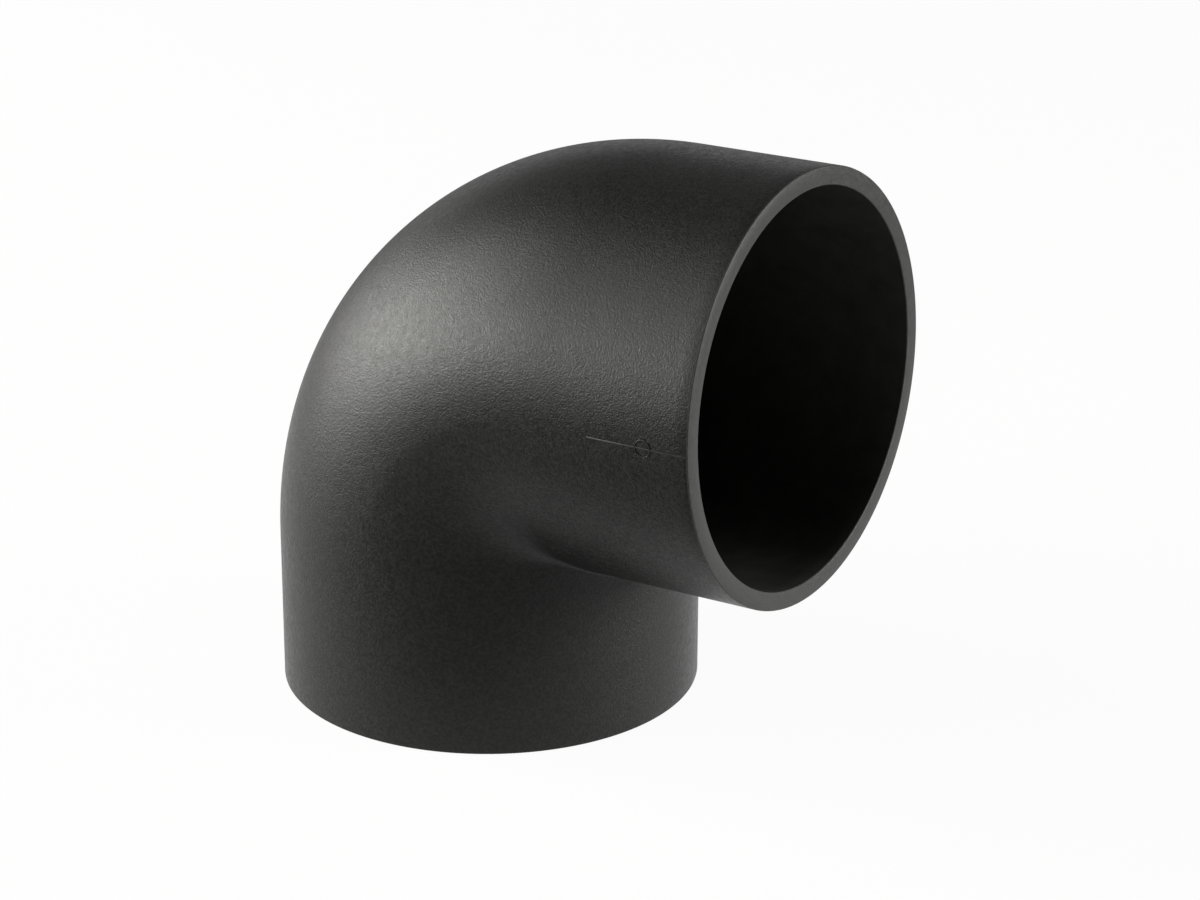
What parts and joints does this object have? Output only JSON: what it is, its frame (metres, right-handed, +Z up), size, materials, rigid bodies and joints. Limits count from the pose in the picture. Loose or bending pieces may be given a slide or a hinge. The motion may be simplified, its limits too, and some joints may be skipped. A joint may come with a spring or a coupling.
{
  "type": "pipe bend",
  "caption": "Short-radius drainage pipe bend with plain spigot ends, moulded whole in black plastic; turns a waste pipe through nearly a right angle.",
  "frame": {"origin": "centre of the lower leg's end face, on the leg's axis", "axes": "+Z up the lower leg's axis into the bend, +X towards the upper leg's mouth, +Y across the bend's mirror plane"},
  "size_m": [0.1514, 0.1101, 0.1524],
  "materials": {
    "black_polyethylene": "charcoal black moulded polyethylene with a fine satin grain"
  },
  "bodies": {
    "root": {"pipe_bend": "black_polyethylene"}
  },
  "joints": []
}
